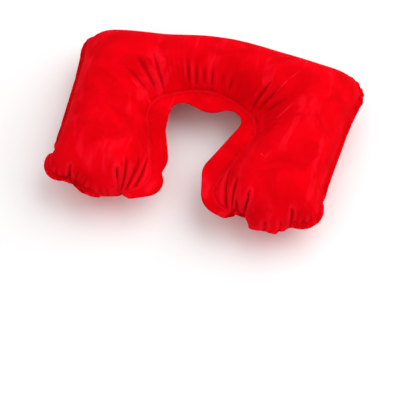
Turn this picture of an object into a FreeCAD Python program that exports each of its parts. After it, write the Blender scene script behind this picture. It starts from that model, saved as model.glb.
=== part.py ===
"""U-shaped inflatable neck pillow: two flocked PVC sheets welded round an air chamber, with a mouth valve.

Frame: millimetres, +Z up, +X to the right of the U, +Y to its back, origin under the middle of the pillow on
the plane it rests on. The weld of the two sheets lies in the plane Z = chamber_rise. The valve is on the
underside of the left back corner; at rest it is pushed in, with its mouth just inside the rest plane.
"""

import FreeCAD, Part
import math
import os
import Sketcher

OUT_FOLDER = "parts"

SIZES = {
    # outline of the weld, seen from above
    "back_edge": 131.0,
    "back_radius": 300.0,
    "back_corner_x": 137.0,
    "back_corner_y": 66.4,
    "back_corner_radius": 46.0,
    "leg_corner_x": 126.0,
    "leg_corner_radius": 42.0,
    "mouth_x": 83.5,
    "mouth_radius": 42.0,
    "leg_depth": 89.0,
    "neck_offset": 6.0,
    "neck_edge": 45.0,
    "neck_radius": 80.0,
    "neck_corner_x": 36.0,
    "neck_corner_depth": 4.8,
    "neck_corner_radius": 36.0,
    # section of the chamber
    "chamber_rise": 47.0,
    "shoulder": 38.0,
    "skin": 0.6,
    # cut edge of the sheets: a narrow flange outside, a wide web inside the U
    "flange": 7.0,
    "tab_left": 50.0,
    "tab_left_depth": 110.0,
    "tab_left_radius": 22.0,
    "tab_right": 52.0,
    "tab_right_depth": 100.0,
    "tab_right_radius": 32.0,
    "notch_round": 2.0,
    "notch_left": 32.0,
    "notch_left_depth": 91.0,
    "notch_right": 17.0,
    "notch_right_depth": 56.0,
    "swell_radius": 30.0,
    "swell_left": 64.0,
    "swell_left_depth": 80.0,
    "swell_right": 44.0,
    "swell_right_depth": 74.0,
    "hollow_radius": 40.0,
    "hollow_x": 10.0,
    "hollow_depth": 18.0,
    "lobe_radius": 17.0,
    "lobe_left": 33.0,
    "lobe_left_y": 3.0,
    "lobe_right": 27.0,
    "lobe_right_y": 6.0,
    "tongue_x": 3.0,
    "tongue_y": 43.0,
    "tongue_radius": 30.0,
    # valve
    "valve_left": 112.0,
    "valve_y": 60.0,
    "mouth_lift": 1.5,
    "port_radius": 10.0,
    "base_radius": 16.0,
    "base_plate": 0.8,
    "stem_radius": 5.5,
    "bore_radius": 3.5,
    "stem_length": 12.0,
    "lip_radius": 6.3,
    "lip_height": 1.4,
    "root_radius": 8.0,
    "root_height": 1.2,
    "sleeve_wide": 11.4,
    "sleeve_narrow": 7.6,
    "sleeve_wall": 0.6,
    "head_radius": 5.6,
    "head_height": 1.1,
    "nose_wide": 3.3,
    "nose_tip": 2.4,
    "nose_length": 4.0,
    "hinge_reach": 7.8,
    "hinge_round": 0.55,
    "hinge_gap": 0.1,
    "strap_width": 4.0,
    "band_wall": 0.7,
    "band_height": 2.0,
    "flap_radius": 4.6,
    "flap_plate": 0.5,
    "flap_gap": 0.1,
    "flap_hinge": 5.4,
    "flap_round": 0.25,
    "flap_width": 3.0,
    "lug_end": 7.2,
}


class Size:
    """A length together with the spreadsheet formula that drives it."""

    def __init__(self, number, formula):
        self.number = number
        self.formula = formula

    def __add__(self, other):
        other = as_size(other)
        return Size(self.number + other.number, f"({self.formula} + {other.formula})")

    def __sub__(self, other):
        other = as_size(other)
        return Size(self.number - other.number, f"({self.formula} - {other.formula})")

    def __neg__(self):
        return Size(-self.number, f"(0 - {self.formula})")


def as_size(length):
    """Takes a plain number as a size too."""
    return length if isinstance(length, Size) else Size(float(length), str(length))


class Round:
    """One circle of an outline: centre, radius, and +1 when the outline turns left round it, -1 right."""

    def __init__(self, x, y, radius, turn):
        self.x, self.y, self.radius = as_size(x), as_size(y), as_size(radius)
        self.turn = turn

    def grown(self, by):
        """The same circle for an outline moved outwards."""
        radius = self.radius + by if self.turn > 0 else self.radius - by
        return Round(self.x, self.y, radius, self.turn)

    def centre(self):
        return FreeCAD.Vector(self.x.number, self.y.number, 0)


def make_sheet(doc):
    """Spreadsheet of the driving dimensions; returns them as sizes by name."""
    sheet = doc.addObject("Spreadsheet::Sheet", "Sizes")
    for row, (alias, number) in enumerate(SIZES.items(), start=1):
        sheet.set(f"A{row}", alias)
        sheet.set(f"B{row}", str(number))
        sheet.setAlias(f"B{row}", alias)
    doc.recompute()
    return {alias: Size(number, f"Sizes.{alias}") for alias, number in SIZES.items()}


def tangent(first, second):
    """Ends of the straight piece that leaves the first circle and joins the second."""
    way = second.centre() - first.centre()
    out_first = first.radius.number * first.turn
    out_second = second.radius.number * second.turn
    lean = math.asin((out_second - out_first) / way.Length)
    heading = math.atan2(way.y, way.x) - lean
    side = FreeCAD.Vector(math.sin(heading), -math.cos(heading), 0)
    return first.centre() + side * out_first, second.centre() + side * out_second


def new_body(doc, label, x=0, y=0, z=0):
    """Body whose placement follows the sheet."""
    body = doc.addObject("PartDesign::Body", label)
    body.Label = label
    for axis, length in (("x", x), ("y", y), ("z", z)):
        body.setExpression(f"Placement.Base.{axis}", as_size(length).formula)
    return body


def new_sketch(body, name, plane):
    """Sketch on one of the body's own planes."""
    sketch = body.newObject("Sketcher::SketchObject", name)
    support = next(item for item in body.Origin.OriginFeatures if item.Role == plane)
    sketch.AttachmentSupport = [(support, "")]
    sketch.MapMode = "FlatFace"
    return sketch


def hold(sketch, kind, where, length):
    """Adds one dimension to a sketch and ties it to the sheet."""
    sign = 1 if length.number >= 0 else -1
    if kind != "Radius" and sign < 0:
        where = where[2:] + where[:2]
    index = sketch.addConstraint(Sketcher.Constraint(kind, *where, abs(length.number)))
    sketch.renameConstraint(index, f"size_{index}")
    sketch.setExpression(f"Constraints.size_{index}", (length if sign > 0 else -length).formula)


def hold_point(sketch, point, x, y):
    """Fixes a point of a sketch by its distances from the origin."""
    for kind, axis, length in (("DistanceX", -2, x), ("DistanceY", -1, y)):
        if length.formula in ("0", "0.0"):
            sketch.addConstraint(Sketcher.Constraint("PointOnObject", *point, axis))
        else:
            hold(sketch, kind, (-1, 1) + point, length)


def belt(sketch, rounds):
    """Closed outline of arcs joined by their common tangents."""
    count = len(rounds)
    joins = [tangent(rounds[i], rounds[(i + 1) % count]) for i in range(count)]
    up = FreeCAD.Vector(0, 0, 1)
    for index, item in enumerate(rounds):
        start, end = joins[index - 1][1], joins[index][0]
        if item.turn < 0:
            start, end = end, start
        angles = [math.atan2(*reversed((p - item.centre())[:2])) for p in (start, end)]
        circle = Part.Circle(item.centre(), up, item.radius.number)
        sketch.addGeometry(Part.ArcOfCircle(circle, *angles), False)
        sketch.addGeometry(Part.LineSegment(*joins[index]), False)
    for index, item in enumerate(rounds):
        arc, line, before = 2 * index, 2 * index + 1, (2 * index - 1) % (2 * count)
        enters, leaves = (1, 2) if item.turn > 0 else (2, 1)
        sketch.addConstraint(Sketcher.Constraint("Tangent", before, 2, arc, enters))
        sketch.addConstraint(Sketcher.Constraint("Tangent", arc, leaves, line, 1))
        hold(sketch, "Radius", (arc,), item.radius)
        hold_point(sketch, (arc, 3), item.x, item.y)


def polygon(sketch, corners):
    """Closed outline of straight lines through corners given by sizes."""
    corners = [(as_size(x), as_size(y)) for x, y in corners]
    points = [FreeCAD.Vector(x.number, y.number, 0) for x, y in corners]
    for index, point in enumerate(points):
        sketch.addGeometry(Part.LineSegment(point, points[(index + 1) % len(points)]), False)
    for index, (x, y) in enumerate(corners):
        following = (index + 1) % len(corners)
        sketch.addConstraint(Sketcher.Constraint("Coincident", index, 2, following, 1))
        hold_point(sketch, (index, 1), x, y)


def pad(body, sketch, name, length, both_ways=False):
    """Straight solid from a sketch."""
    feature = body.newObject("PartDesign::Pad", name)
    feature.Profile = sketch
    feature.Midplane = both_ways
    feature.setExpression("Length", as_size(length).formula)
    sketch.Visibility = False
    return feature


def turned(body, name, corners):
    """Solid of revolution round the body's own vertical axis."""
    sketch = new_sketch(body, name + "Profile", "XZ_Plane")
    polygon(sketch, corners)
    feature = body.newObject("PartDesign::Revolution", name)
    feature.Profile = sketch
    feature.ReferenceAxis = (sketch, ["V_Axis"])
    feature.Angle = 360.0
    sketch.Visibility = False
    return feature


def knuckle(body, name, x, z, radius, width):
    """Round end of a strap or flap, centred on its hinge line."""
    sketch = new_sketch(body, name + "Profile", "XZ_Plane")
    centre = FreeCAD.Vector(x.number, z.number, 0)
    circle = Part.Circle(centre, FreeCAD.Vector(0, 0, 1), radius.number)
    sketch.addGeometry(circle, False)
    hold(sketch, "Radius", (0,), radius)
    hold_point(sketch, (0, 3), x, z)
    pad(body, sketch, name, width, both_ways=True)


def weld_outline(s):
    """Circles of the weld line, anticlockwise from the middle of the back."""
    def sided(side):
        across = (lambda length: length) if side > 0 else (lambda length: -length)
        back = Round(across(s["back_corner_x"]), s["back_corner_y"], s["back_corner_radius"], 1)
        leg = Round(across(s["leg_corner_x"]), -s["leg_depth"], s["leg_corner_radius"], 1)
        mouth_x = across(s["mouth_x"]) - s["neck_offset"]
        mouth = Round(mouth_x, -s["leg_depth"], s["mouth_radius"], 1)
        neck_x = across(s["neck_corner_x"]) - s["neck_offset"]
        neck = Round(neck_x, -s["neck_corner_depth"], s["neck_corner_radius"], -1)
        return [back, leg, mouth, neck]

    back = Round(0, s["back_edge"] - s["back_radius"], s["back_radius"], 1)
    nape = s["neck_edge"] - s["neck_radius"]
    neck = Round(-s["neck_offset"], nape, s["neck_radius"], -1)
    return [back] + sided(-1) + [neck] + sided(1)[::-1]


def cut_outline(s, weld):
    """Circles of the cut edge: the weld line grown by the flange, and the wavy edge of the inner web."""
    grown = [item.grown(s["flange"]) for item in weld]
    small = s["notch_round"]
    web = [
        Round(-s["tab_left"], -s["tab_left_depth"], s["tab_left_radius"], 1),
        Round(-s["notch_left"], -s["notch_left_depth"], small, -1),
        Round(-s["swell_left"], -s["swell_left_depth"], s["swell_radius"], 1),
        Round(-s["hollow_x"], -s["hollow_depth"], s["hollow_radius"], -1),
        Round(-s["lobe_left"], s["lobe_left_y"], s["lobe_radius"], -1),
        Round(-s["tongue_x"], s["tongue_y"], s["tongue_radius"], 1),
        Round(s["lobe_right"], s["lobe_right_y"], s["lobe_radius"], -1),
        Round(s["notch_right"], -s["notch_right_depth"], small, -1),
        Round(s["swell_right"], -s["swell_right_depth"], s["swell_radius"], 1),
        Round(s["tab_right"], -s["tab_right_depth"], s["tab_right_radius"], 1),
    ]
    return grown[:4] + web + grown[-3:]


def dome(doc, label, rounds, z, rise, shoulder):
    """Half of the chamber: a flat-topped solid with a rounded shoulder all round."""
    body = new_body(doc, label, z=z)
    sketch = new_sketch(body, label + "Outline", "XY_Plane")
    belt(sketch, rounds)
    block = pad(body, sketch, label + "Block", rise)
    doc.recompute()
    top = max(block.Shape.Faces, key=lambda face: face.CenterOfMass.z)
    edges = [
        f"Edge{index}"
        for index, edge in enumerate(block.Shape.Edges, start=1)
        if any(edge.isSame(rim) for rim in top.Edges)
    ]
    rounding = body.newObject("PartDesign::Fillet", label + "Shoulder")
    rounding.Base = (block, edges)
    rounding.setExpression("Radius", shoulder.formula)
    return body


def boolean(doc, kind, label, base, tool):
    """Union or difference of two solids."""
    result = doc.addObject(kind, label)
    result.Label = label
    result.Base, result.Tool = base, tool
    base.Visibility = tool.Visibility = False
    return result


def upper_sheet(doc, s, weld, cut):
    """Upper sheet: its half of the chamber, and its layer of the flange and the web."""
    outside = dome(doc, "upper_outside", weld, s["chamber_rise"], s["chamber_rise"], s["shoulder"])
    hollow = [item.grown(-s["skin"]) for item in weld]
    inside = dome(
        doc,
        "upper_inside",
        hollow,
        s["chamber_rise"],
        s["chamber_rise"] - s["skin"],
        s["shoulder"] - s["skin"],
    )
    rim = new_body(doc, "upper_rim", z=s["chamber_rise"])
    sketch = new_sketch(rim, "upper_rim_outline", "XY_Plane")
    belt(sketch, cut)
    pad(rim, sketch, "upper_rim_layer", s["skin"])
    filled = boolean(doc, "Part::Fuse", "upper_filled", outside, rim)
    return boolean(doc, "Part::Cut", "upper_sheet", filled, inside)


def lower_sheet(doc, s, upper):
    """Lower sheet: the upper one turned over at the weld, with the port for the valve."""
    turned_over = doc.addObject("Part::Mirroring", "lower_plain")
    turned_over.Source = upper
    turned_over.Normal = FreeCAD.Vector(0, 0, 1)
    turned_over.setExpression("Base.z", s["chamber_rise"].formula)
    port = doc.addObject("Part::Cylinder", "port")
    port.setExpression("Radius", s["port_radius"].formula)
    port.setExpression("Height", (s["skin"] + s["skin"] + s["skin"]).formula)
    port.setExpression("Placement.Base.x", (-s["valve_left"]).formula)
    port.setExpression("Placement.Base.y", s["valve_y"].formula)
    port.setExpression("Placement.Base.z", (-s["skin"]).formula)
    return boolean(doc, "Part::Cut", "lower_sheet", turned_over, port)


def valve_body(doc, s, label, z=0):
    """Body on the valve's axis; Z runs from the valve's mouth into the chamber."""
    return new_body(doc, label, x=-s["valve_left"], y=s["valve_y"], z=z)


def valve_base(doc, s):
    """Flat ring welded to the inner face of the lower sheet round the port."""
    body = valve_body(doc, s, "valve_base")
    low, high = s["skin"], s["skin"] + s["base_plate"]
    inner, outer = s["port_radius"], s["base_radius"]
    turned(body, "BaseRing", [(inner, low), (outer, low), (outer, high), (inner, high)])
    return body


def valve_membrane(doc, s):
    """Soft conical sleeve from the base ring up to the root of the stem; it turns over with the stem."""
    body = valve_body(doc, s, "valve_membrane")
    low = s["skin"] + s["base_plate"]
    high = s["mouth_lift"] + s["stem_length"] - s["root_height"]
    wide, narrow, wall = s["sleeve_wide"], s["sleeve_narrow"], s["sleeve_wall"]
    corners = [(wide - wall, low), (wide, low), (narrow, high), (narrow - wall, high)]
    turned(body, "Sleeve", corners)
    return body


def valve_stem(doc, s):
    """Mouth tube with a lip at its mouth, a flange at its root and the lug of the check flap."""
    body = valve_body(doc, s, "valve_stem", s["mouth_lift"])
    bore, tube, lip, root = s["bore_radius"], s["stem_radius"], s["lip_radius"], s["root_radius"]
    length, lip_height = s["stem_length"], s["lip_height"]
    shelf = length - s["root_height"]
    corners = [
        (bore, 0),
        (lip, 0),
        (lip, lip_height),
        (tube, lip_height),
        (tube, shelf),
        (root, shelf),
        (root, length),
        (bore, length),
    ]
    turned(body, "StemTube", corners)
    sketch = new_sketch(body, "FlapLugProfile", "XZ_Plane")
    near = -s["flap_hinge"] - s["flap_round"] - s["hinge_gap"]
    far = -s["lug_end"]
    low, high = length - s["flap_gap"], length + s["flap_gap"] + s["flap_plate"]
    polygon(sketch, [(far, low), (near, low), (near, high), (far, high)])
    pad(body, sketch, "FlapLug", s["flap_width"], both_ways=True)
    return body


def plug_strap(doc, s):
    """Band round the stem with the arm that holds the hinge of the plug's strap."""
    body = valve_body(doc, s, "plug_strap", s["mouth_lift"])
    low = s["lip_height"]
    high = low + s["band_height"]
    inner, outer = s["stem_radius"], s["stem_radius"] + s["band_wall"]
    turned(body, "Band", [(inner, low), (outer, low), (outer, high), (inner, high)])
    sketch = new_sketch(body, "ArmProfile", "XZ_Plane")
    start, near = outer - s["hinge_gap"], s["lip_radius"] + s["hinge_gap"]
    far = s["hinge_reach"] + s["hinge_round"]
    corners = [
        (start, low),
        (near, low),
        (near, s["hinge_gap"]),
        (far, s["hinge_gap"]),
        (far, high),
        (start, high),
    ]
    polygon(sketch, corners)
    pad(body, sketch, "Arm", s["strap_width"], both_ways=True)
    return body


def valve_plug(doc, s):
    """Plug: a tapered nose in the bore, a round head over the mouth and the moving end of the strap."""
    body = valve_body(doc, s, "valve_plug", s["mouth_lift"])
    face, nose = -s["head_height"], s["nose_length"]
    corners = [
        (0, face),
        (s["head_radius"], face),
        (s["head_radius"], 0),
        (s["nose_wide"], 0),
        (s["nose_tip"], nose),
        (0, nose),
    ]
    turned(body, "PlugTurned", corners)
    sketch = new_sketch(body, "TongueProfile", "XZ_Plane")
    near, far = s["nose_wide"], s["hinge_reach"]
    polygon(sketch, [(near, face), (far, face), (far, 0), (near, 0)])
    pad(body, sketch, "Tongue", s["strap_width"], both_ways=True)
    line = s["hinge_round"]
    knuckle(body, "TongueEnd", far, -line, line, s["strap_width"])
    return body


def check_flap(doc, s):
    """Round flap over the inner end of the bore, with a short tongue to its hinge line."""
    body = valve_body(doc, s, "check_flap", s["mouth_lift"] + s["stem_length"] + s["flap_gap"])
    radius, plate = s["flap_radius"], s["flap_plate"]
    turned(body, "FlapDisc", [(0, 0), (radius, 0), (radius, plate), (0, plate)])
    sketch = new_sketch(body, "FlapTongueProfile", "XZ_Plane")
    far, near = -s["flap_hinge"], -s["bore_radius"]
    polygon(sketch, [(far, 0), (near, 0), (near, plate), (far, plate)])
    pad(body, sketch, "FlapTongue", s["flap_width"], both_ways=True)
    line = s["flap_round"]
    knuckle(body, "FlapTongueEnd", far, line, line, s["flap_width"])
    return body


def require_sound(doc, parts):
    """Stops the build if anything failed to compute."""
    for item in doc.Objects:
        if {"Invalid", "Error"} & set(item.State):
            raise RuntimeError(f"{item.Label}: {item.State}")
    for item in parts:
        shape = item.Shape
        if shape.isNull() or not shape.isValid() or len(shape.Solids) != 1:
            raise RuntimeError(f"{item.Label}: not one valid solid")


def main():
    os.makedirs(OUT_FOLDER, exist_ok=True)
    doc = FreeCAD.newDocument("NeckPillow")
    s = make_sheet(doc)
    weld = weld_outline(s)
    upper = upper_sheet(doc, s, weld, cut_outline(s, weld))
    parts = [upper, lower_sheet(doc, s, upper)]
    makers = (valve_base, valve_membrane, valve_stem, plug_strap, valve_plug, check_flap)
    parts += [make(doc, s) for make in makers]
    doc.recompute()
    require_sound(doc, parts)
    for item in parts:
        item.Shape.exportStep(f"{OUT_FOLDER}/{item.Label}.step")


main()
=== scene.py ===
"""The looks of an inflatable neck pillow: a U of two flocked sheets welded round one air chamber.

The sheets are cut flat and blown up by a small film solver, so the creases, the puckers and the
scalloped flange come from the air pressure. The valve under one back corner keeps its CAD solids,
and a soft skirt joins its sliding stem to its base. The classes hold sizes in millimetres, and
the finished meshes are in metres, each with its object at the origin.
"""

import logging
import math
from dataclasses import dataclass, field
from enum import Enum

import bpy
import numpy as np
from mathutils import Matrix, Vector
from mathutils.geometry import delaunay_2d_cdt


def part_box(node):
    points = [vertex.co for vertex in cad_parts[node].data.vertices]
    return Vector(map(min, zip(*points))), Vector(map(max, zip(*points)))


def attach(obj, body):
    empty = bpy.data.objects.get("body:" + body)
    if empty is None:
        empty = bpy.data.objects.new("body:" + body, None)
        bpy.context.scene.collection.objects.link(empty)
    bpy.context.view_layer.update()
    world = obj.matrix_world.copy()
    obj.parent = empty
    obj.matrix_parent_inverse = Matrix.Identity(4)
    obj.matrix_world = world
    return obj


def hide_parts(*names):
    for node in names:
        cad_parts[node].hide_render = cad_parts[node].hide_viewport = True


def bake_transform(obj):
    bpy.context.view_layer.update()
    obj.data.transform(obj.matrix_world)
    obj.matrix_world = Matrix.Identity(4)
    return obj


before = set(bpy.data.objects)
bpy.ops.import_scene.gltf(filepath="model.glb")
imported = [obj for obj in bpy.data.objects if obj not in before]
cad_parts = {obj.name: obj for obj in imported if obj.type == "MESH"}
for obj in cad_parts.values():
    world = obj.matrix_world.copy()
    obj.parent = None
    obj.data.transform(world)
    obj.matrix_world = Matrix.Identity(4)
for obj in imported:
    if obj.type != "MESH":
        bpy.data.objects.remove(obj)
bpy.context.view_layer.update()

LOG = logging.getLogger("neck_pillow")
METRES = 0.001

Socket = bpy.types.NodeSocket
Colour = tuple[float, float, float, float]


# ---------------------------------------------------------------- flat outlines


@dataclass(frozen=True)
class Round:
    """One rounding of an outline: a circle that the outline wraps round, turn 1 for outwards."""

    x: float
    y: float
    radius: float
    turn: int = 1

    def grown(self, by: float) -> "Round":
        """Returns the same rounding with the outline moved outwards by that much."""
        return Round(self.x, self.y, self.radius + by * self.turn, self.turn)


def tangent(first: Round, second: Round) -> tuple[np.ndarray, np.ndarray]:
    """Finds where the straight run from one rounding to the next touches both circles.

    Args:
        first: the rounding that the outline leaves.
        second: the rounding that it comes to.

    Returns:
        The point on the first circle and the point on the second.
    """
    way = np.array([second.x - first.x, second.y - first.y])
    leaving, coming = first.radius * first.turn, second.radius * second.turn
    heading = math.atan2(way[1], way[0]) - math.asin((coming - leaving) / np.hypot(*way))
    side = np.array([math.sin(heading), -math.cos(heading)])
    return np.array([first.x, first.y]) + side * leaving, np.array([second.x, second.y]) + side * coming


def belt(rounds: list[Round], step: float) -> np.ndarray:
    """Draws a closed outline round the circles, arcs joined by straight runs.

    Args:
        rounds: the roundings in counterclockwise order.
        step: the spacing of the points along the outline.

    Returns:
        Evenly spaced points of the outline, shape (n, 2).
    """
    joins = [tangent(a, b) for a, b in zip(rounds, rounds[1:] + rounds[:1])]
    runs = []
    for i, r in enumerate(rounds):
        centre = np.array([r.x, r.y])
        start, end = joins[i - 1][1] - centre, joins[i][0] - centre
        low, high = math.atan2(start[1], start[0]), math.atan2(end[1], end[0])
        sweep = (high - low) % math.tau if r.turn > 0 else -((low - high) % math.tau)
        sweep = 0.0 if abs(sweep) > 1.9 * math.pi else sweep
        angle = low + sweep * np.linspace(0, 1, 1 + max(1, int(abs(sweep) * r.radius / 0.5)))
        runs.append(centre + r.radius * np.column_stack([np.cos(angle), np.sin(angle)]))
    loop = np.vstack(runs + [runs[0][:1]])
    along = np.r_[0, np.cumsum(np.hypot(*np.diff(loop, axis=0).T))]
    place = np.linspace(0, along[-1], int(round(along[-1] / step)) + 1)[:-1]
    return np.column_stack([np.interp(place, along, loop[:, 0]), np.interp(place, along, loop[:, 1])])


def ring(centre: np.ndarray, radius: float, step: float) -> np.ndarray:
    """Returns evenly spaced points of a circle, shape (n, 2)."""
    angle = np.arange(int(math.tau * radius / step)) * math.tau / int(math.tau * radius / step)
    return centre + radius * np.column_stack([np.cos(angle), np.sin(angle)])


def inside(loop: np.ndarray, points: np.ndarray) -> np.ndarray:
    """Tells which points are inside a closed loop, by counting the edges that a ray crosses."""
    start, end = loop, np.roll(loop, -1, axis=0)
    found = np.empty(len(points), bool)
    for at in range(0, len(points), 2000):
        x, y = points[at : at + 2000, :1], points[at : at + 2000, 1:]
        spans = (start[:, 1] > y) != (end[:, 1] > y)
        rise = np.where(end[:, 1] == start[:, 1], 1.0, end[:, 1] - start[:, 1])
        crossing = start[:, 0] + (end[:, 0] - start[:, 0]) * (y - start[:, 1]) / rise
        found[at : at + 2000] = (spans & (x < crossing)).sum(1) % 2 == 1
    return found


def gap(loop: np.ndarray, points: np.ndarray) -> np.ndarray:
    """Returns each point's distance from a closed loop, the least over its edges."""
    run = np.roll(loop, -1, axis=0) - loop
    square = (run**2).sum(1) + 1e-12
    found = np.empty(len(points))
    for at in range(0, len(points), 1000):
        offset = points[at : at + 1000, None] - loop
        share = np.clip((offset * run).sum(2) / square, 0, 1)
        found[at : at + 1000] = np.sqrt(((offset - share[..., None] * run) ** 2).sum(2)).min(1)
    return found


def carried(known: np.ndarray, values: np.ndarray, at: np.ndarray) -> np.ndarray:
    """Carries values from known points to new ones, by a flat fit to the seven nearest.

    Args:
        known: points where the values are known, shape (n, 2).
        values: the values there, shape (n, k).
        at: the new points, shape (m, 2).

    Returns:
        The values at the new points, shape (m, k).
    """
    found = np.empty((len(at), values.shape[1]))
    for start in range(0, len(at), 800):
        here = at[start : start + 800]
        square = ((here[:, None] - known) ** 2).sum(2)
        near = np.argpartition(square, 6, axis=1)[:, :7]
        close = np.take_along_axis(square, near, 1)
        weight = np.exp(-2.5 * close / close.max(1, keepdims=True))
        basis = np.concatenate([np.ones((*near.shape, 1)), known[near] - here[:, None]], axis=2)
        left = np.einsum("mki,mk,mkj->mij", basis, weight, basis) + 1e-7 * np.eye(3)
        right = np.einsum("mki,mk,mkv->miv", basis, weight, values[near])
        found[start : start + 800] = np.linalg.solve(left, right)[:, 0]
    return found


# ---------------------------------------------------------------- the two sheets, flat


@dataclass(frozen=True)
class SheetPattern:
    """The flat cut of the two sheets, before the air draws it in."""

    neck_x: float = -6.0
    flange: float = 7.0
    back_x: float = 20.0
    back_radius: float = 600.0
    back_y: float = 157.0
    notch: float = 2.0

    def half(self, left: bool) -> list[Round]:
        """Lists the chamber's roundings down one leg and up the neck, from the back corner."""
        if left:
            outer = [Round(-158, 77, 57), Round(-172, -96, 42), Round(-128, -70, 82)]
        else:
            outer = [Round(155, 85, 57), Round(162.5, -84, 43), Round(128, -80, 66)]
        side = -1 if left else 1
        mouth = Round(self.neck_x + side * 69.5, -100 if left else -96, 28)
        return outer + [mouth, Round(self.neck_x + side * 36, -4.8, 36, -1)]

    def weld(self) -> list[Round]:
        """Lists the roundings of the weld line, the chamber's own outline."""
        back = Round(self.back_x, self.back_y - self.back_radius, self.back_radius)
        nape = Round(self.neck_x, -35, 80, -1)
        return [back] + self.half(True) + [nape] + self.half(False)[::-1]

    def cut(self) -> list[Round]:
        """Lists the roundings of the cut edge: a flange outside, and a web with a tongue in the neck."""
        grown = [r.grown(self.flange) for r in self.weld()]
        x, notch = self.neck_x, self.notch
        web = [
            Round(x - 44, -108, 22),
            Round(x - 26, -91, notch, -1),
            Round(x - 55.5, -75, 30),
            Round(x - 2, -18, 40, -1),
            Round(x - 27, 3, 17, -1),
            Round(x + 3, 43, 30),
            Round(x + 33, 6, 17, -1),
            Round(x + 23, -56, notch, -1),
            Round(x + 50, -74, 30),
            Round(x + 58, -100, 32),
        ]
        return grown[:4] + web + grown[-3:]


@dataclass(frozen=True)
class Port:
    """The round hole in the lower sheet for the valve, with the flat ring that is bonded to it."""

    x: float
    y: float
    hole: float
    bond: float


@dataclass
class FilmMesh:
    """Both sheets as flat triangles that share the weld line and the flange.

    side is 1 on the upper sheet's chamber, -1 on the lower's and 0 on the flange, and depth is
    the distance inside the weld line, less than nothing on the flange.
    """

    flat: np.ndarray
    side: np.ndarray
    depth: np.ndarray
    upper: np.ndarray
    lower: np.ndarray
    flange: np.ndarray
    weld_count: int

    def creases(self) -> np.ndarray:
        """Returns the edges of the weld line, shape (n, 2)."""
        start = np.arange(self.weld_count)
        return np.column_stack([start, np.roll(start, -1)])


def triangles(loops: list[np.ndarray], points: np.ndarray) -> np.ndarray:
    """Joins loops and loose points into flat triangles, each loop's edges kept.

    Args:
        loops: closed outlines, each shape (n, 2).
        points: the points between them, shape (m, 2).

    Returns:
        Counterclockwise corners in the order of the stacked loops and points, shape (t, 3).
    """
    stacked = np.vstack(loops + [points])
    edges, at = [], 0
    for loop in loops:
        start = at + np.arange(len(loop))
        edges.append(np.column_stack([start, np.roll(start, -1)]))
        at += len(loop)
    made = delaunay_2d_cdt([Vector(p) for p in stacked.tolist()], np.vstack(edges).tolist(), [], 0, 1e-6)
    if len(made[0]) != len(stacked):
        raise ValueError("two points of the flat cut fell on each other")
    corners = np.array(made[2])
    a, b, c = (stacked[corners[:, i]] for i in range(3))
    area = (b[:, 0] - a[:, 0]) * (c[:, 1] - a[:, 1]) - (b[:, 1] - a[:, 1]) * (c[:, 0] - a[:, 0])
    corners[area < 0] = corners[area < 0][:, ::-1]
    return corners[np.abs(area) > 1e-6]


def lay_flat(pattern: SheetPattern, spacing: float, port: Port | None) -> FilmMesh:
    """Meshes the flat cut of both sheets with nearly even triangles.

    Args:
        pattern: the outlines of the weld line and the cut edge.
        spacing: the edge length of a triangle.
        port: the valve's hole in the lower sheet, or None for a plain sheet.

    Returns:
        The two sheets, still flat.
    """
    weld, cut = belt(pattern.weld(), spacing), belt(pattern.cut(), spacing)
    low, high = cut.min(0), cut.max(0)
    rows = np.arange(low[1], high[1], spacing * math.sqrt(0.75))
    columns = np.arange(low[0], high[0], spacing)
    grid = np.stack(np.meshgrid(columns, rows), axis=2)
    grid[1::2, :, 0] += spacing / 2
    grid = grid.reshape(-1, 2)
    grid = grid[inside(cut, grid)]
    grid = grid[(gap(weld, grid) > 0.6 * spacing) & (gap(cut, grid) > 0.6 * spacing)]
    within = inside(weld, grid)
    rim, chamber = grid[~within], grid[within]

    points = np.vstack([weld, cut, rim])
    corners = triangles([weld, cut], rim)
    middle = points[corners].mean(1)
    flange = corners[inside(cut, middle) & ~inside(weld, middle)]
    count, shared = len(points), np.arange(len(weld))

    corners = triangles([weld], chamber)
    middle = np.vstack([weld, chamber])[corners].mean(1)
    upper = np.r_[shared, count + np.arange(len(chamber))][corners[inside(weld, middle)]]
    count += len(chamber)

    loops, lower_points = [weld], chamber
    if port is not None:
        centre = np.array([port.x, port.y])
        loops += [ring(centre, port.hole, min(spacing, 2.5)), ring(centre, port.bond, spacing)]
        reach = np.hypot(*(chamber - centre).T)
        half = spacing / 2
        between = (reach > port.hole + half) & (reach < port.bond - half)
        lower_points = chamber[between | (reach > port.bond + half)]
    corners = triangles(loops, lower_points)
    stacked = np.vstack(loops + [lower_points])
    middle = stacked[corners].mean(1)
    kept = inside(weld, middle)
    if port is not None:
        kept &= np.hypot(*(middle - centre).T) > port.hole * 0.985
    extra = stacked[len(weld) :]
    lower = np.r_[shared, count + np.arange(len(extra))][corners[kept]][:, ::-1]

    everything = np.vstack([points, chamber, extra])
    side = np.repeat([0, 1, -1], [len(points), len(chamber), len(extra)])
    depth = gap(weld, everything) * np.where(side == 0, -1, 1)
    flat = np.column_stack([everything, np.zeros(len(everything))])
    return FilmMesh(flat, side, depth, upper, lower, flange, len(weld))


# ---------------------------------------------------------------- blowing the sheets up


@dataclass(frozen=True)
class Blow:
    """One stage of the blowing up: how fine the film is, how long it takes and how stiff it is.

    crush is how firmly the film keeps its length when it is pressed together, which makes the
    creases, and back_crush is the softer value at the outer back, which stays smooth: the change
    starts at back_start and takes back_run.
    """

    spacing: float
    steps: int
    pressure: float
    crush: float
    back_crush: float = 0.05
    back_start: float = 40.0
    back_run: float = 40.0
    bend: float = 0.02
    damping: float = 0.97
    top_speed: float = 2.0


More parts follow.
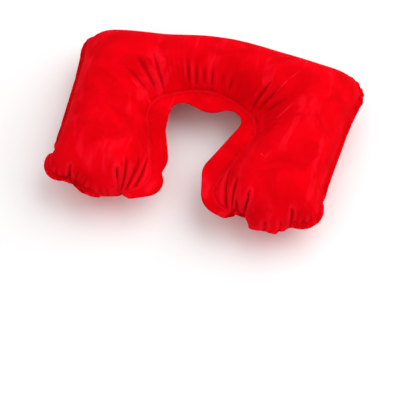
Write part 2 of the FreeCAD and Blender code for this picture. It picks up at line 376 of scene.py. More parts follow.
def matched(pairs: np.ndarray, count: int) -> list[np.ndarray]:
    """Sorts pairs of points into batches in which no point is used twice.

    Args:
        pairs: the pairs, shape (n, 2).
        count: how many points there are.

    Returns:
        The batches, each an array of places in pairs.
    """
    left, batches = np.arange(len(pairs)), []
    while len(left):
        chosen, open_pairs, used = [], left, np.zeros(count, bool)
        while len(open_pairs):
            first = np.full(count, len(pairs))
            np.minimum.at(first, pairs[open_pairs].ravel(), np.repeat(open_pairs, 2))
            ok = (first[pairs[open_pairs]] == open_pairs[:, None]).all(1)
            chosen.append(open_pairs[ok])
            used[pairs[open_pairs[ok]].ravel()] = True
            open_pairs = open_pairs[~ok]
            open_pairs = open_pairs[~used[pairs[open_pairs]].any(1)]
        batches.append(np.sort(np.concatenate(chosen)))
        kept = np.ones(len(pairs), bool)
        kept[batches[-1]] = False
        left = left[kept[left]]
    return batches


class FilmSolver:
    """Blows up the two sheets: pressure pushes the film, and its edges hold their length.

    Every edge may fold freely but not stretch, a crushed edge pushes back a little, and the
    points opposite each other across an edge resist a sharp fold.
    """

    def __init__(self, film: FilmMesh, start: np.ndarray, blow: Blow) -> None:
        """Sets up the lengths, the masses and the batches of edges.

        Args:
            film: the flat sheets, which give the lengths.
            start: the points' places at the start, shape (n, 3).
            blow: the stage's settings.
        """
        self.place, self.speed = start.copy(), np.zeros_like(start)
        self.blow, self.count = blow, len(start)
        self.pressed = np.vstack([film.upper, film.lower])
        faces = np.vstack([self.pressed, film.flange])
        sides = np.sort(np.vstack([faces[:, [0, 1]], faces[:, [1, 2]], faces[:, [2, 0]]]), axis=1)
        across = np.concatenate([faces[:, 2], faces[:, 0], faces[:, 1]])
        edges = np.unique(sides, axis=0)
        order = np.argsort(sides[:, 0] * self.count + sides[:, 1], kind="stable")
        twin = np.nonzero((sides[order[1:]] == sides[order[:-1]]).all(1))[0]
        folds = np.column_stack([across[order[twin]], across[order[twin + 1]]])
        middle = film.flat[edges].mean(1)[:, 1]
        back = np.clip((middle - blow.back_start) / blow.back_run, 0, 1)
        crush = blow.crush * (1 - back) + blow.back_crush * back
        self.edges = self.batches(film, edges, np.full(len(edges), 0.5), 0.5 * crush)
        stiff = np.full(len(folds), 0.5 * blow.bend)
        self.folds = self.batches(film, folds, np.zeros(len(folds)), stiff)
        a, b, c = (film.flat[faces[:, i]] for i in range(3))
        area = np.linalg.norm(np.cross(b - a, c - a), axis=1) / 6
        mass = np.bincount(faces.ravel(), np.repeat(area, 3), self.count)
        self.mass = (mass / mass.mean())[:, None]

    def batches(
        self, film: FilmMesh, pairs: np.ndarray, pull: np.ndarray, push: np.ndarray
    ) -> list[tuple[np.ndarray, np.ndarray, np.ndarray, np.ndarray, np.ndarray]]:
        """Splits pairs into batches of (first, second, length, pull, push).

        Args:
            film: the flat sheets, which give the lengths.
            pairs: the pairs of points, shape (n, 2).
            pull: how firmly each pair resists being stretched.
            push: how firmly each pair resists being pressed together.

        Returns:
            The batches.
        """
        length = np.linalg.norm(film.flat[pairs[:, 0]] - film.flat[pairs[:, 1]], axis=1)
        chosen = matched(pairs, self.count)
        return [(pairs[c, 0], pairs[c, 1], length[c], pull[c], push[c]) for c in chosen]

    def push_out(self) -> np.ndarray:
        """Returns the air's force on each point: the pressure times a third of each face's area."""
        a, b, c = (self.place[self.pressed[:, i]] for i in range(3))
        force = np.cross(b - a, c - a) * (self.blow.pressure / 6)
        corners = self.pressed.T.ravel()
        return np.column_stack(
            [np.bincount(corners, np.tile(force[:, k], 3), self.count) for k in range(3)]
        )

    def step(self) -> None:
        """Moves the film on by one step, and takes its speed from how far it went."""
        self.speed = (self.speed + self.push_out() / self.mass) * self.blow.damping
        fast = np.linalg.norm(self.speed, axis=1, keepdims=True)
        self.speed *= np.minimum(1, self.blow.top_speed / np.maximum(fast, 1e-12))
        before, place = self.place, self.place + self.speed
        for first, second, length, pull, push in self.edges + self.folds:
            way = place[second] - place[first]
            now = np.sqrt((way * way).sum(1))
            excess = (now - length) / np.maximum(now, 1e-9)
            way *= (np.where(excess > 0, pull, push) * excess)[:, None]
            place[first] += way
            place[second] -= way
        self.speed, self.place = place - before, place


@dataclass
class Inflation:
    """Blows the flat pattern up in two stages, first roughly and then with its creases.

    The weld line is held within weld_reach of the neck's middle, or neck_reach behind mouth_y, and
    the web within web_reach. grip is how firmly they are held each step, bond_steps is how long
    the valve takes to reach its place, and uneven is the spread of the first film's small faults.
    """

    pattern: SheetPattern
    valve: np.ndarray
    hole: float
    bond: float
    rest_depth: float
    rough: Blow = Blow(spacing=8.0, steps=700, pressure=0.0005, crush=0.1)
    fine: Blow = Blow(spacing=3.0, steps=700, pressure=0.001, crush=0.5)
    draft: Blow = Blow(spacing=4.5, steps=350, pressure=0.001, crush=0.5)
    weld_reach: float = 70.0
    weld_front: float = -134.0
    weld_back: float = 48.0
    neck_reach: float = 75.0
    mouth_y: float = -60.0
    web_reach: float = 56.0
    web_back: float = 40.0
    grip: float = 0.5
    bond_steps: int = 100
    uneven: float = 0.3

    def held(self, film: FilmMesh) -> np.ndarray:
        """Picks the web and the weld line round the neck, which the web keeps from drawing in."""
        x, y = np.abs(film.flat[:, 0] - self.pattern.neck_x), film.flat[:, 1]
        weld = (np.arange(len(x)) < film.weld_count) & (y > self.weld_front) & (y < self.weld_back)
        weld &= (x < self.weld_reach) | ((x < self.neck_reach) & (y > self.mouth_y))
        web = (film.side == 0) & (film.depth < -1) & (x < self.web_reach) & (y < self.web_back)
        return np.nonzero(weld | web)[0]

    def relax(self, film: FilmMesh, start: np.ndarray, blow: Blow, port: Port | None) -> np.ndarray:
        """Runs one stage until the film is at rest.

        Args:
            film: the flat sheets.
            start: the points' places at the start.
            blow: the stage's settings.
            port: the valve's hole, or None in the rough stage.

        Returns:
            The points' places at the end, with the middle plane at height 0.
        """
        solver, held = FilmSolver(film, start, blow), self.held(film)
        bonded, goal = np.zeros(0, int), np.zeros((0, 3))
        if port is not None:
            offset = film.flat[:, :2] - (port.x, port.y)
            bonded = np.nonzero((film.side < 0) & (np.hypot(*offset.T) < port.bond + 0.01))[0]
            floor = np.full(len(bonded), -self.rest_depth)
            goal = np.column_stack([offset[bonded] + self.valve, floor])
        for i in range(blow.steps):
            solver.step()
            solver.place[held] += (film.flat[held] - solver.place[held]) * self.grip
            solver.place[bonded] += (goal - solver.place[bonded]) * min(1, i / self.bond_steps)
            solver.speed[held] = solver.speed[bonded] = 0
            if port is not None:
                sunk = solver.place[:, 2] < -self.rest_depth
                solver.place[sunk, 2] = -self.rest_depth
                solver.speed[sunk, 2] = 0
        return solver.place

    def run(self) -> tuple[FilmMesh, np.ndarray]:
        """Blows the pillow up.

        Returns:
            The flat sheets and their points' places when full of air, in millimetres.
        """
        rough = lay_flat(self.pattern, self.rough.spacing, None)
        start = rough.flat.copy()
        start[:, 2] = rough.side * 2 * np.sqrt(np.clip(rough.depth, 0, 40))
        start += np.random.default_rng(4).normal(0, self.uneven, start.shape)
        blown = self.relax(rough, start, self.rough, None)

        low = rough.side < 0
        centre = carried(blown[low, :2], rough.flat[low, :2], self.valve[None])[0]
        port = Port(*centre, self.hole, self.bond)
        stage = self.fine
        film = lay_flat(self.pattern, stage.spacing, port)
        start = np.zeros_like(film.flat)
        weld = np.arange(len(rough.flat)) < rough.weld_count
        for side in (0, 1, -1):
            source, wanted = (rough.side == side) | weld, film.side == side
            start[wanted] = carried(rough.flat[source, :2], blown[source], film.flat[wanted, :2])
        return film, self.relax(film, start, stage, port)


# ---------------------------------------------------------------- meshes


def face_normals_at(points: np.ndarray, faces: np.ndarray) -> np.ndarray:
    """Returns each point's unit normal, the sum of its faces' normals by their area."""
    a, b, c = (points[faces[:, i]] for i in range(3))
    normal, corners = np.cross(b - a, c - a), faces.T.ravel()
    count = len(points)
    total = np.column_stack([np.bincount(corners, np.tile(normal[:, k], 3), count) for k in range(3)])
    return total / np.maximum(np.linalg.norm(total, axis=1, keepdims=True), 1e-12)


@dataclass
class Refined:
    """A surface split once by Loop's rule: its old points first, then one on each old edge."""

    points: np.ndarray
    faces: np.ndarray
    edges: np.ndarray
    border: np.ndarray
    old_count: int

    def spread(self, values: np.ndarray) -> np.ndarray:
        """Returns values of the old points with each edge's mean added for the new ones."""
        return np.concatenate([values, values[self.edges].mean(1)])

    def hollow(self, points: np.ndarray, faces: np.ndarray) -> np.ndarray:
        """Measures how far each old point lies below its neighbours, along its normal.

        Args:
            points: the old points, shape (n, 3).
            faces: the old triangles, shape (t, 3).

        Returns:
            The depth of the fold at each point, less than nothing on a ridge, shape (n,).
        """
        ends, others = self.edges.ravel(), self.edges[:, ::-1].ravel()
        share = 1 / np.maximum(np.bincount(ends, minlength=len(points)), 1)
        around = [np.bincount(ends, points[others, k], len(points)) * share for k in range(3)]
        depth = ((np.column_stack(around) - points) * face_normals_at(points, faces)).sum(1)
        return (depth + np.bincount(ends, depth[others], len(points)) * share) / 2


def refine(points: np.ndarray, faces: np.ndarray, creases: np.ndarray) -> Refined:
    """Splits each triangle in four, smooth everywhere but across creases and borders.

    A new point is three eighths of its edge's ends and an eighth of the points opposite, and an
    old point moves towards its neighbours by Loop's weights. Along a crease both follow it only.

    Args:
        points: the surface's points, shape (n, 3).
        faces: its triangles, shape (t, 3).
        creases: the edges that stay sharp, shape (c, 2).

    Returns:
        The refined surface.
    """
    count = len(points)
    sides = np.vstack([faces[:, [0, 1]], faces[:, [1, 2]], faces[:, [2, 0]]])
    across = np.concatenate([faces[:, 2], faces[:, 0], faces[:, 1]])
    edges, first, which, used = np.unique(
        np.sort(sides, axis=1), axis=0, return_index=True, return_inverse=True, return_counts=True
    )
    which = which.ravel()
    sharp = np.sort(creases, axis=1)
    hard = (used == 1) | np.isin(edges @ (count, 1), sharp @ (count, 1))

    def summed(at: np.ndarray, values: np.ndarray, size: int) -> np.ndarray:
        """Adds up rows of values by their place."""
        return np.column_stack([np.bincount(at, values[:, k], size) for k in range(3)])

    ends = points[edges].sum(1)
    opposite = summed(which, points[across], len(edges))
    middle = np.where(hard[:, None], ends / 2, ends * 0.375 + opposite * 0.125)
    valence = np.bincount(edges.ravel(), minlength=count)[:, None]
    around = summed(edges.ravel(), points[edges[:, ::-1].ravel()], count)
    share = (0.625 - (0.375 + np.cos(math.tau / valence) / 4) ** 2) / valence
    smooth = points * (1 - valence * share) + around * share
    rails = edges[hard]
    railed = np.bincount(rails.ravel(), minlength=count)[:, None]
    along = summed(rails.ravel(), points[rails[:, ::-1].ravel()], count)
    firm = np.where(railed == 2, points * 0.75 + along * 0.125, points)
    old = np.where(railed == 0, smooth, firm)

    a, b, c = faces.T
    ab, bc, ca = (count + side for side in np.split(which, 3))
    parts = ((a, ab, ca), (b, bc, ab), (c, ca, bc), (ab, bc, ca))
    split = np.vstack([np.column_stack(part) for part in parts])
    rim = np.nonzero(used == 1)[0]
    border = np.column_stack([sides[first[rim]], count + rim])
    return Refined(np.vstack([old, middle]), split, edges, border, count)


def make_object(
    name: str,
    points: np.ndarray,
    faces: np.ndarray,
    flat: np.ndarray | None = None,
    traits: dict[str, np.ndarray] | None = None,
    sharp_from: int | None = None,
) -> bpy.types.Object:
    """Makes a smooth mesh object at the origin.

    Args:
        name: the piece's name.
        points: its points in metres, shape (n, 3).
        faces: its faces, all with as many corners, shape (t, 3) or (t, 4).
        flat: each point's place on the flat cut in metres, for the UV map, shape (n, 2).
        traits: values of each point by their attribute's name, each shape (n,).
        sharp_from: the first of the faces that are shaded flat, or None.

    Returns:
        The object, linked to the scene.
    """
    mesh = bpy.data.meshes.new(name)
    mesh.from_pydata(points.tolist(), [], faces.tolist())
    smooth = np.ones(len(faces), bool)
    if sharp_from is not None:
        smooth[sharp_from:] = False
    mesh.polygons.foreach_set("use_smooth", smooth)
    if flat is not None:
        layer = mesh.uv_layers.new(name="pattern")
        layer.data.foreach_set("uv", flat[faces.ravel()].astype(np.float32).ravel())
    for label, values in (traits or {}).items():
        attribute = mesh.attributes.new(label, "FLOAT", "POINT")
        attribute.data.foreach_set("value", values.astype(np.float32))
    mesh.update()
    piece = bpy.data.objects.new(name, mesh)
    bpy.context.scene.collection.objects.link(piece)
    return piece


def turned(profile: np.ndarray, centre: np.ndarray, count: int) -> tuple[np.ndarray, np.ndarray]:
    """Turns a closed profile of (radius, height) once round an upright axis.

    Args:
        profile: the profile's points, clockwise as seen with the axis on the left, shape (n, 2).
        centre: the axis's place in plan.
        count: how many steps the turn has.

    Returns:
        The points, shape (n * count, 3), and the four-cornered faces.
    """
    angle = np.arange(count)[:, None] * math.tau / count
    radius, height = profile.T
    x, y = centre[0] + radius * np.cos(angle), centre[1] + radius * np.sin(angle)
    points = np.stack([x, y, height + 0 * angle], axis=2)
    step, along = np.meshgrid(np.arange(count), np.arange(len(profile)), indexing="ij")
    after, beyond = (step + 1) % count, (along + 1) % len(profile)
    corners = ((step, along), (after, along), (after, beyond), (step, beyond))
    corner = [turn * len(profile) + place for turn, place in corners]
    return points.reshape(-1, 3), np.stack(corner, axis=2).reshape(-1, 4)


# ---------------------------------------------------------------- node trees


class Bench:
    """Places nodes in one node tree and links them."""

    def __init__(self, tree: bpy.types.NodeTree) -> None:
        """Keeps the tree that the nodes go in."""
        self.tree = tree

    def node(self, kind: str, **settings: object) -> bpy.types.Node:
        """Adds a node and sets its own settings, such as its operation."""
        made = self.tree.nodes.new(kind)
        for name, value in settings.items():
            setattr(made, name, value)
        return made

    def feed(self, socket: Socket, value: object) -> None:
        """Links a socket to another one, or sets its value."""
        if isinstance(value, Socket):
            self.tree.links.new(value, socket)
        else:
            socket.default_value = value

    def fill(self, made: bpy.types.Node, values: dict[str, object]) -> None:
        """Feeds a node's inputs by their names."""
        for name, value in values.items():
            self.feed(made.inputs[name], value)

    def math(self, operation: str, *values: object, clamp: bool = False) -> Socket:
        """Adds a Math node and returns its result."""
        made = self.node("ShaderNodeMath", operation=operation, use_clamp=clamp)
        for socket, value in zip(made.inputs, values):
            self.feed(socket, value)
        return made.outputs[0]

    def vector(self, operation: str, *values: object, result: str = "Vector") -> Socket:
        """Adds a Vector Math node and returns the result of that name."""
        made = self.node("ShaderNodeVectorMath", operation=operation)
        for socket, value in zip(made.inputs, values):
            self.feed(socket, value)
        return made.outputs[result]

    def scaled(self, vector: object, by: Socket) -> Socket:
        """Adds a Vector Math node that scales a vector by a value."""
        made = self.node("ShaderNodeVectorMath", operation="SCALE")
        self.fill(made, {"Vector": vector, "Scale": by})
        return made.outputs["Vector"]

    def ease(
        self, value: object, low: object, high: object, to_low: float = 0.0, to_high: float = 1.0
    ) -> Socket:
        """Adds a smooth Map Range node that goes from to_low at low to to_high at high."""
        made = self.node("ShaderNodeMapRange", interpolation_type="SMOOTHSTEP")
        ends = {"From Min": low, "From Max": high, "To Min": to_low, "To Max": to_high}
        self.fill(made, {"Value": value, **ends})
        return made.outputs["Result"]

    def mix(self, share: object, first: object, second: object) -> Socket:
        """Adds a colour Mix node and returns its result."""
        made = self.node("ShaderNodeMix", data_type="RGBA")
        sockets = {s.identifier: s for s in made.inputs}
        for name, value in (("Factor_Float", share), ("A_Color", first), ("B_Color", second)):
            self.feed(sockets[name], value)
        return next(s for s in made.outputs if s.identifier == "Result_Color")

    def noise(
        self, vector: object, scale: object, detail: float, rough: float = 0.5, twist: float = 0.0
    ) -> Socket:
        """Adds a Noise Texture node and returns its value."""
        made = self.node("ShaderNodeTexNoise")
        look = {"Detail": detail, "Roughness": rough, "Distortion": twist}
        self.fill(made, {"Vector": vector, "Scale": scale, **look})
        return made.outputs[0]

    def trait(self, name: str) -> Socket:
        """Adds an Attribute node and returns the value of that attribute."""
        return self.node("ShaderNodeAttribute", attribute_name=name).outputs["Fac"]

    def bump(self, shader: bpy.types.Node, height: object, strength: float, distance: float) -> None:
        """Adds a Bump node that feeds the shader's normal from a height."""
        made = self.node("ShaderNodeBump")
        self.fill(made, {"Height": height, "Strength": strength, "Distance": distance})
        self.feed(shader.inputs["Normal"], made.outputs["Normal"])

    def group(self, tree: bpy.types.NodeTree, **values: object) -> bpy.types.Node:
        """Places a node group with its own values."""
        made = self.node("ShaderNodeGroup", node_tree=tree)
        self.fill(made, values)
        return made


def new_group(
    name: str, inputs: dict[str, float | tuple | None], outputs: list[str]
) -> tuple[Bench, dict, dict]:
    """Starts a shader node group.

    Args:
        name: the group's name.
        inputs: its inputs with their values, a vector where that is None or a tuple.
        outputs: its outputs, which are all plain values.

    Returns:
        The bench of the group, its inputs' sockets by name and its outputs' sockets by name.
    """
    tree = bpy.data.node_groups.new(name, "ShaderNodeTree")
    for label, value in inputs.items():
        kind = "NodeSocketFloat" if isinstance(value, float) else "NodeSocketVector"
        socket = tree.interface.new_socket(name=label, in_out="INPUT", socket_type=kind)
        if value is not None:
            socket.default_value = value
    for label in outputs:
        tree.interface.new_socket(name=label, in_out="OUTPUT", socket_type="NodeSocketFloat")
    bench = Bench(tree)
    entry, leave = bench.node("NodeGroupInput"), bench.node("NodeGroupOutput")
    given = {s.name: s for s in entry.outputs if s.name}
    wanted = {s.name: s for s in leave.inputs if s.name}
    return bench, given, wanted


class Effects:
    """The node groups that the finishes share, each built once."""

    def __init__(self) -> None:
        """Builds the groups."""
        self.mottle = self.build_mottle()
        self.grain = self.build_grain()
        self.mark = self.build_mark()

    def build_mottle(self) -> bpy.types.NodeTree:
        """Builds soft patches with long strokes over them, as where a hand has brushed a nap."""
        inputs = {"Vector": None, "Patches": 20.0, "Strokes": 40.0}
        bench, given, wanted = new_group("mottle", inputs, ["Shade", "Brushed"])
        broad = bench.noise(given["Vector"], given["Patches"], 3.0, 0.6, 0.5)
        bench.feed(wanted["Shade"], bench.ease(broad, 0.32, 0.68))
        slant = bench.node("ShaderNodeMapping")
        bench.feed(slant.inputs["Vector"], given["Vector"])
        slant.inputs["Rotation"].default_value = (0.0, 0.0, 0.9)
        slant.inputs["Scale"].default_value = (1.0, 0.3, 1.0)
        long = bench.noise(slant.outputs[0], given["Strokes"], 2.5, 0.55, 0.9)
        strokes, places = bench.ease(long, 0.52, 0.66), bench.ease(broad, 0.4, 0.62)
        bench.feed(wanted["Brushed"], bench.math("MULTIPLY", strokes, places))
        return bench.tree

    def build_grain(self) -> bpy.types.NodeTree:
        """Builds a fine even grain: speckle for the colour and height for the bump."""
        inputs = {"Vector": None, "Scale": 900.0}
        bench, given, wanted = new_group("grain", inputs, ["Speckle", "Height"])
        fine = bench.noise(given["Vector"], given["Scale"], 2.0, 0.65)
        broad = bench.noise(given["Vector"], bench.math("MULTIPLY", given["Scale"], 0.23), 2.0, 0.5)
        bench.feed(wanted["Speckle"], bench.ease(fine, 0.3, 0.7))
        parts = bench.math("MULTIPLY", fine, 0.6), bench.math("MULTIPLY", broad, 0.4)
        bench.feed(wanted["Height"], bench.math("ADD", *parts))
        return bench.tree

    def build_mark(self) -> bpy.types.NodeTree:
        """Builds a faint broken line along a straight run, by the distance from it: a fold mark, which
        the flock paints lighter as a painted highlight of the crease.
        """
        inputs = {"Vector": None, "Start": (0.0, 0.0, 0.0), "End": (0.1, 0.0, 0.0), "Width": 0.001}
        bench, given, wanted = new_group("fold_mark", inputs, ["Mask"])
        wave = bench.noise(given["Vector"], 45.0, 2.0)
        shift = bench.math("MULTIPLY", bench.math("SUBTRACT", wave, 0.5), 0.012)
        here = bench.vector("ADD", given["Vector"], bench.scaled((1.0, 1.0, 0.0), shift))
        offset = bench.vector("SUBTRACT", here, given["Start"])
        run = bench.vector("SUBTRACT", given["End"], given["Start"])
        dots = [bench.vector("DOT_PRODUCT", v, run, result="Value") for v in (offset, run)]
        share = bench.math("DIVIDE", *dots, clamp=True)
        nearest = bench.scaled(run, share)
        away = bench.vector("LENGTH", bench.vector("SUBTRACT", offset, nearest), result="Value")
        line = bench.ease(away, given["Width"], 0.0)
        ends = bench.math("MULTIPLY", bench.ease(share, 0.0, 0.25), bench.ease(share, 1.0, 0.7))
        broken = bench.ease(bench.noise(given["Vector"], 130.0, 2.0), 0.36, 0.6)
        bench.feed(wanted["Mask"], bench.math("MULTIPLY", bench.math("MULTIPLY", line, ends), broken))
        return bench.tree


# ---------------------------------------------------------------- finishes


def new_material(name: str) -> tuple[bpy.types.Material, Bench, bpy.types.Node]:
    """Returns a new material, its bench and its shader."""
    material = bpy.data.materials.new(name)
    material.use_nodes = True
    return material, Bench(material.node_tree), material.node_tree.nodes["Principled BSDF"]


@dataclass(frozen=True)
class FoldMark:
    """A faint lighter line on the flat cut along a fold, in millimetres: a pressed fold line, painted
    lighter as a highlight of the crease.
    """

    start: tuple[float, float]
    end: tuple[float, float]
    width: float = 1.6


@dataclass(frozen=True)
class FlockFinish:
    """Short red flock on vinyl: patches, brushed strokes, fold marks, a pressed weld, painted fold shade
    and painted highlights.
    """

    deep: Colour = (0.64, 0.0, 0.003, 1.0)
    bright: Colour = (0.82, 0.0, 0.005, 1.0)
    # lighter pink of flock brushed the other way, and the painted highlight colour of the weld line, the
    # ridges and the fold marks
    rubbed_and_highlight: Colour = (1.0, 0.012, 0.035, 1.0)
    speck: Colour = (0.45, 0.0, 0.002, 1.0)
    # painted shade: the dark red laid into the hollows of the folds
    painted_fold_shade: Colour = (0.26, 0.0, 0.002, 1.0)
    sheen: Colour = (1.0, 0.004, 0.02, 1.0)
    marks: tuple[FoldMark, ...] = (
        FoldMark((78, 30), (118, 84)),
        FoldMark((92, -6), (122, 34)),
        FoldMark((96, -50), (112, -54)),
        FoldMark((-118, 22), (-72, 4)),
        FoldMark((-92, 46), (-80, 30)),
    )

    def build(self, effects: Effects) -> bpy.types.Material:
        """Builds the material.

        Args:
            effects: the shared node groups.

        Returns:
            The material.
        """
        material, bench, shader = new_material("red_flock")
        pattern = bench.node("ShaderNodeUVMap", uv_map="pattern").outputs["UV"]
        mottle = bench.group(effects.mottle, Vector=pattern, Patches=24.0, Strokes=44.0)
        grain = bench.group(effects.grain, Vector=pattern, Scale=1300.0)
        seam, hollow = bench.trait("seam"), bench.trait("hollow")
        near_seam = bench.math("ABSOLUTE", seam)
        line = bench.ease(near_seam, 0.5, 1.5, 1.0, 0.0)
        bar_start, bar_end = bench.ease(seam, 0.2, 1.0), bench.ease(seam, 4.2, 5.2, 1.0, 0.0)
        pressed = bench.math("MULTIPLY", bar_start, bar_end)

        colour = bench.mix(mottle.outputs["Shade"], self.deep, self.bright)
        speck = bench.ease(grain.outputs["Speckle"], 0.0, 1.0, 0.16, 0.0)
        colour = bench.mix(speck, colour, self.speck)
        streaks = bench.math("MULTIPLY", mottle.outputs["Brushed"], 0.3)
        # Fold marks: pressed fold lines in the flock, painted lighter as highlights of the creases.
        for mark in self.marks:
            place = {
                "Start": tuple(v * METRES for v in (*mark.start, 0.0)),
                "End": tuple(v * METRES for v in (*mark.end, 0.0)),
                "Width": mark.width * METRES,
            }
            mask = bench.group(effects.mark, Vector=pattern, **place).outputs["Mask"]
            streaks = bench.math("MAXIMUM", streaks, bench.math("MULTIPLY", mask, 0.8))
        # The weld line is painted lighter: a painted highlight where the crease between chamber and
        # flange catches the light.
        streaks = bench.math("MAXIMUM", streaks, bench.math("MULTIPLY", line, 0.3))
        # Ridges are painted lighter by their measured hollow: a painted highlight, in the colour of
        # rubbed flock.
        ridge = bench.ease(hollow, -0.08, -0.3, 0.0, 0.28)
        colour = bench.mix(bench.math("MAXIMUM", streaks, ridge), colour, self.rubbed_and_highlight)
        # The folds are painted darker by their measured hollow, less so near the weld line: painted
        # shade that deepens the creases beyond the light's own shading.
        clear = bench.ease(near_seam, 1.5, 7.0, 0.12, 1.0)
        fold = bench.math("MULTIPLY", bench.ease(hollow, 0.0, 0.24, 0.0, 0.6), clear)
        colour = bench.mix(fold, colour, self.painted_fold_shade)
        colour = bench.mix(bench.math("MULTIPLY", pressed, 0.25), colour, self.deep)
        bench.feed(shader.inputs["Base Color"], colour)
        bench.feed(shader.inputs["Roughness"], bench.ease(pressed, 0.0, 1.0, 0.95, 0.7))

        nap = bench.math("MULTIPLY", grain.outputs["Height"], bench.ease(pressed, 0.0, 1.0, 1.0, 0.45))
        height = bench.math("SUBTRACT", nap, bench.math("MULTIPLY", pressed, 0.25))
        bench.bump(shader, height, 0.5, 0.0005)
        shader.inputs["Specular IOR Level"].default_value = 0.02
        shader.inputs["Sheen Weight"].default_value = 0.35
        shader.inputs["Sheen Roughness"].default_value = 0.45
        shader.inputs["Sheen Tint"].default_value = self.sheen
        return material


@dataclass(frozen=True)
class VinylFinish:
    """Milky soft vinyl, faintly yellowed in patches, with a fine moulded grain."""

    name: str = "milky_vinyl"
    clear: Colour = (0.80, 0.81, 0.78, 1.0)
    clouded: Colour = (0.66, 0.65, 0.60, 1.0)
    roughness: float = 0.34

    def build(self, effects: Effects) -> bpy.types.Material:
        """Builds the material.

        Args:
            effects: the shared node groups.

        Returns:
            The material.
        """
        material, bench, shader = new_material(self.name)
        place = bench.node("ShaderNodeTexCoord").outputs["Object"]
        mottle = bench.group(effects.mottle, Vector=place, Patches=160.0, Strokes=300.0)
        grain = bench.group(effects.grain, Vector=place, Scale=3200.0)
        cloud = bench.ease(mottle.outputs["Shade"], 0.0, 1.0, 0.0, 0.55)
        bench.feed(shader.inputs["Base Color"], bench.mix(cloud, self.clear, self.clouded))
        streaks = bench.math("MULTIPLY", mottle.outputs["Brushed"], 0.18)
        bench.feed(shader.inputs["Roughness"], bench.math("ADD", streaks, self.roughness))
        bench.bump(shader, grain.outputs["Height"], 0.25, 0.0001)
        shader.inputs["Subsurface Weight"].default_value = 0.15
        shader.inputs["Subsurface Radius"].default_value = (0.002, 0.002, 0.0018)
        return material


@dataclass(frozen=True)
class FloorFinish:
    """A pale matt floor with a barely uneven tone."""

    light: Colour = (0.93, 0.93, 0.93, 1.0)
    dark: Colour = (0.90, 0.90, 0.90, 1.0)

    def build(self, effects: Effects) -> bpy.types.Material:
        """Builds the material.

        Args:
            effects: the shared node groups.

        Returns:
            The material.
        """
        material, bench, shader = new_material("pale_floor")
        place = bench.node("ShaderNodeTexCoord").outputs["Object"]
        mottle = bench.group(effects.mottle, Vector=place, Patches=2.0, Strokes=4.0)
        colour = bench.mix(mottle.outputs["Shade"], self.dark, self.light)
        bench.feed(shader.inputs["Base Color"], colour)
        shader.inputs["Roughness"].default_value = 0.9
        shader.inputs["Specular IOR Level"].default_value = 0.1
        return material


# ---------------------------------------------------------------- the pillow


class Sheet(Enum):
    """Which of the two welded sheets a piece is, with its name and its CAD node."""

    UPPER = ("upper_film", "upper_sheet")
    LOWER = ("lower_film", "lower_sheet")


@dataclass
class Cushion:
    """The air chamber: two flocked sheets with a flange outside and a web in the neck."""

    pattern: SheetPattern = field(default_factory=SheetPattern)
    wall: float = 0.6
    port_radius: float = 10.0
    fill: float = 0.9

    @property
    def rise(self) -> float:
        """Returns the height of the middle plane above the floor, in millimetres."""
        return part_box("upper_sheet")[1].z / METRES / 2

    def blow_up(self) -> tuple[FilmMesh, np.ndarray]:
        """Blows the flat sheets up until they rest on the floor.

        Returns:
            The flat sheets and their points' places, in millimetres above the middle plane.
        """
        low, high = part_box("valve_base")
        valve = np.array([(low.x + high.x) / 2, (low.y + high.y) / 2]) / METRES
        bond = (high.x - low.x) / METRES / 2
        return Inflation(self.pattern, valve, self.port_radius, bond, self.rise - self.wall).run()

    def sheet(self, which: Sheet, film: FilmMesh, blown: np.ndarray) -> bpy.types.Object:
        """Makes one sheet: its outer face refined and moved out by the wall, and its inner face.

        Args:
            which: the upper or the lower sheet.
            film: the flat sheets.
            blown: the points' places when full of air.

        Returns:
            The sheet's object.
        """
        name, node = which.value
        rim = film.flange if which is Sheet.UPPER else film.flange[:, ::-1]
        chamber = film.upper if which is Sheet.UPPER else film.lower
        used, faces = np.unique(np.vstack([chamber, rim]), return_inverse=True)
        faces = faces.reshape(-1, 3)
        skin = refine(blown[used], faces, np.searchsorted(used, film.creases()))
        inner = skin.points[: skin.old_count]
        outer = skin.points + face_normals_at(skin.points, skin.faces) * self.wall
        start, end, middle = skin.border.T
        near, far = start + len(outer), end + len(outer)
        walls = ((middle, start, near), (middle, near, far), (end, middle, far))
        edge = np.vstack([np.column_stack(wall) for wall in walls])
        points = np.vstack([outer, inner]) + (0, 0, self.rise)
        flat = film.flat[used, :2]
        # hollow feeds the flock's painted fold shade and painted ridge highlight.
        traits = {"seam": -film.depth[used], "hollow": skin.hollow(blown[used], faces)}
        piece = make_object(
            name,
            points * METRES,
            np.vstack([skin.faces, faces[:, ::-1] + len(outer), edge]),
            np.vstack([skin.spread(flat), flat]) * METRES,
            {label: np.concatenate([skin.spread(v), v]) for label, v in traits.items()},
            len(skin.faces) + len(faces),
        )
        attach(piece, "cushion")
        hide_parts(node)
        return piece

    def build(self, material: bpy.types.Material) -> list[bpy.types.Object]:
        """Builds both sheets and dresses them.

        Args:
            material: the flock.

        Returns:
            The two sheets' objects.
        """
        film, blown = self.blow_up()
        pieces = [self.sheet(which, film, blown) for which in Sheet]
        for piece in pieces:
            piece.data.materials.append(material)
        return pieces


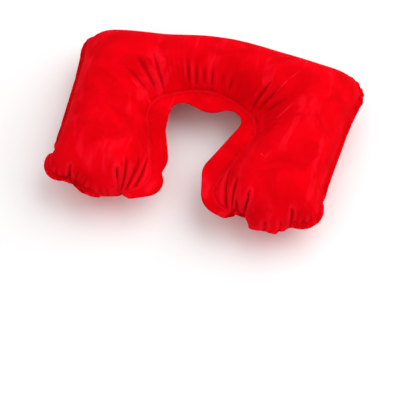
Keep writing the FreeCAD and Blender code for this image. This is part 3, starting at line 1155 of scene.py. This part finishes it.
@dataclass
class Valve:
    """The push-in valve: its CAD solids, and the soft skirt between the stem and the base, in one fixed
    shape.
    """

    skirt_foot: float = 11.1
    skirt_top: float = 7.9
    wall: float = 0.6
    wave: float = 0.35
    steps: int = 72

    def skirt(self) -> bpy.types.Object:
        """Makes the skirt, a thin wall turned round the stem's axis.

        Its radius runs from the foot to the top with a shallow wave, as sine of one turn.

        Returns:
            The skirt's object.
        """
        low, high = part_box("valve_membrane")
        centre = np.array([(low.x + high.x) / 2, (low.y + high.y) / 2])
        share = np.linspace(0, 1, 25)
        radius = self.skirt_foot + (self.skirt_top - self.skirt_foot) * share
        radius += self.wave * np.sin(math.tau * share)
        height = (low.z + (high.z - low.z) * share) / METRES
        lean = np.column_stack([np.gradient(height), -np.gradient(radius)])
        lean *= self.wall / 2 / np.linalg.norm(lean, axis=1, keepdims=True)
        line = np.column_stack([radius, height])
        profile = np.vstack([line + lean, (line - lean)[::-1]]) * METRES
        profile[:, 1] = np.clip(profile[:, 1], low.z, high.z)
        points, faces = turned(profile, centre, self.steps)
        piece = make_object("valve_skirt", points, faces)
        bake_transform(piece)
        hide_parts("valve_membrane")
        return piece

    def build(self, material: bpy.types.Material) -> list[bpy.types.Object]:
        """Builds the skirt and dresses it and the valve's CAD solids.

        Args:
            material: the soft vinyl.

        Returns:
            The skirt and the CAD solids.
        """
        skirt = self.skirt()
        skirt.data.materials.append(material)
        names = ("valve_base", "valve_stem", "plug_strap", "valve_plug", "check_flap")
        solids = [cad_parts[name] for name in names]
        for solid in solids:
            if not solid.material_slots:
                solid.data.materials.append(material)
            for slot in solid.material_slots:
                slot.material = material
        return [skirt, *solids]


# ---------------------------------------------------------------- the studio


@dataclass(frozen=True)
class SoftBox:
    """A square studio light that looks at the pillow."""

    name: str
    place: tuple[float, float, float]
    power: float
    size: float

    def build(self) -> None:
        """Makes the light."""
        lamp = bpy.data.lights.new(self.name, "AREA")
        lamp.energy, lamp.size = self.power, self.size
        light = bpy.data.objects.new(self.name, lamp)
        light.location = self.place
        light.rotation_mode = "QUATERNION"
        light.rotation_quaternion = (-Vector(self.place)).to_track_quat("-Z", "Y")
        bpy.context.scene.collection.objects.link(light)


@dataclass
class Studio:
    """A pale floor, soft light and the camera, which looks steeply down over the legs."""

    aim: tuple[float, float, float] = (0.0223, -0.117, 0.047)
    away: float = 1.152
    azimuth: float = 14.9
    elevation: float = 60.0
    lens: float = 84.24
    floor_half: float = 6.0
    ambient: float = 0.68
    lights: tuple[SoftBox, ...] = (
        SoftBox("key", (0.75, 0.5, 1.3), 19.0, 1.8),
        SoftBox("fill", (-0.6, -0.9, 1.4), 4.0, 1.5),
    )

    def build(self, effects: Effects) -> None:
        """Builds the floor, the lights, the surroundings and the camera.

        Args:
            effects: the shared node groups, for the floor.
        """
        half = self.floor_half
        corners = np.array([(-half, -half, 0), (half, -half, 0), (half, half, 0), (-half, half, 0)])
        floor = make_object("floor", corners - (0, 0, 0.0006), np.array([[0, 1, 2, 3]]))
        floor.data.materials.append(FloorFinish().build(effects))
        for light in self.lights:
            light.build()
        world = bpy.data.worlds.new("surroundings")
        world.use_nodes = True
        sky = world.node_tree.nodes["Background"].inputs
        sky["Color"].default_value = (1.0, 1.0, 1.0, 1.0)
        sky["Strength"].default_value = self.ambient
        bpy.context.scene.world = world
        bpy.context.scene.view_settings.view_transform = "Standard"
        self.camera()

    def camera(self) -> None:
        """Makes the camera, turned about the pillow by its azimuth and raised by its elevation."""
        turn, rise = math.radians(self.azimuth), math.radians(self.elevation)
        level = math.cos(rise)
        back = Vector((math.sin(turn) * level, -math.cos(turn) * level, math.sin(rise)))
        data = bpy.data.cameras.new("camera")
        data.lens = self.lens
        eye = bpy.data.objects.new("camera", data)
        eye.location = Vector(self.aim) + back * self.away
        eye.rotation_mode = "QUATERNION"
        eye.rotation_quaternion = (-back).to_track_quat("-Z", "Y")
        bpy.context.scene.collection.objects.link(eye)
        bpy.context.scene.camera = eye


def main() -> None:
    """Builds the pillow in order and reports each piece."""
    logging.basicConfig(level=logging.INFO, format="%(message)s")
    effects = Effects()
    flock, vinyl = FlockFinish().build(effects), VinylFinish().build(effects)
    pieces = Cushion().build(flock) + Valve().build(vinyl)
    Studio().build(effects)
    for piece in pieces:
        LOG.info("%s: %d faces", piece.name, len(piece.data.polygons))


if __name__ == "__main__":
    main()
